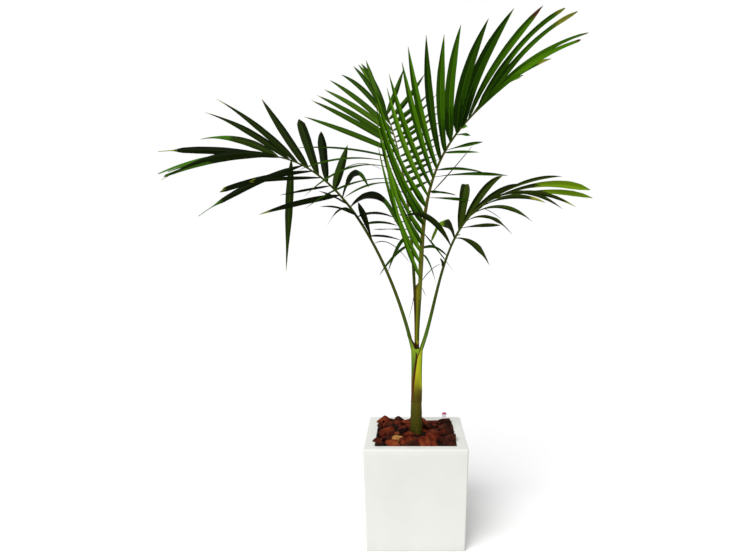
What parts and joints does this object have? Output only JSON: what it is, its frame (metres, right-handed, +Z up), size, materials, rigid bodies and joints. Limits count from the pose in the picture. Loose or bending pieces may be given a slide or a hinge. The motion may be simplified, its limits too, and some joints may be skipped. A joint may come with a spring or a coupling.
{
  "type": "potted kentia palm",
  "caption": "Young feather palm with arching pinnate fronds on a slender green stem, standing in a square white planter topped with bark chips.",
  "frame": {"origin": "centre of the planter's flat underside", "axes": "+Z up the stem, -Y towards the camera of the picture, +X to that camera's right"},
  "size_m": [1.5035, 0.8493, 1.6608],
  "materials": {
    "planter": "off-white, semi-gloss moulded shell with a flat inturned rim",
    "soil": "dark, matt, crumbly potting soil",
    "bark": "rough broken bark chips, red-brown to near black",
    "label": "blank white strip with a pink end",
    "stem": "olive green, smooth, faintly ribbed along its length",
    "sheath": "yellow-green leaf base with a brown papery margin",
    "petiole": "green to yellow-brown, waxy, finely ribbed",
    "frond": "leathery green leaflets, satin, with fine lengthwise veins and tan tips"
  },
  "bodies": {
    "root": {"pot_shell": "planter", "potting_soil": "soil", "bark_mulch": "bark", "plant_label": "label", "stem": "stem", "sheath_right": "sheath", "sheath_left": "sheath", "centre_stalk": "petiole", "petiole_left": "petiole", "petiole_right": "petiole", "petiole_front": "petiole", "petiole_back": "petiole", "frond_left_inner": "frond", "frond_left_outer": "frond", "frond_right": "frond", "frond_front_inner": "frond", "frond_front_outer": "frond", "frond_back_inner": "frond", "frond_back_outer": "frond"}
  },
  "joints": []
}
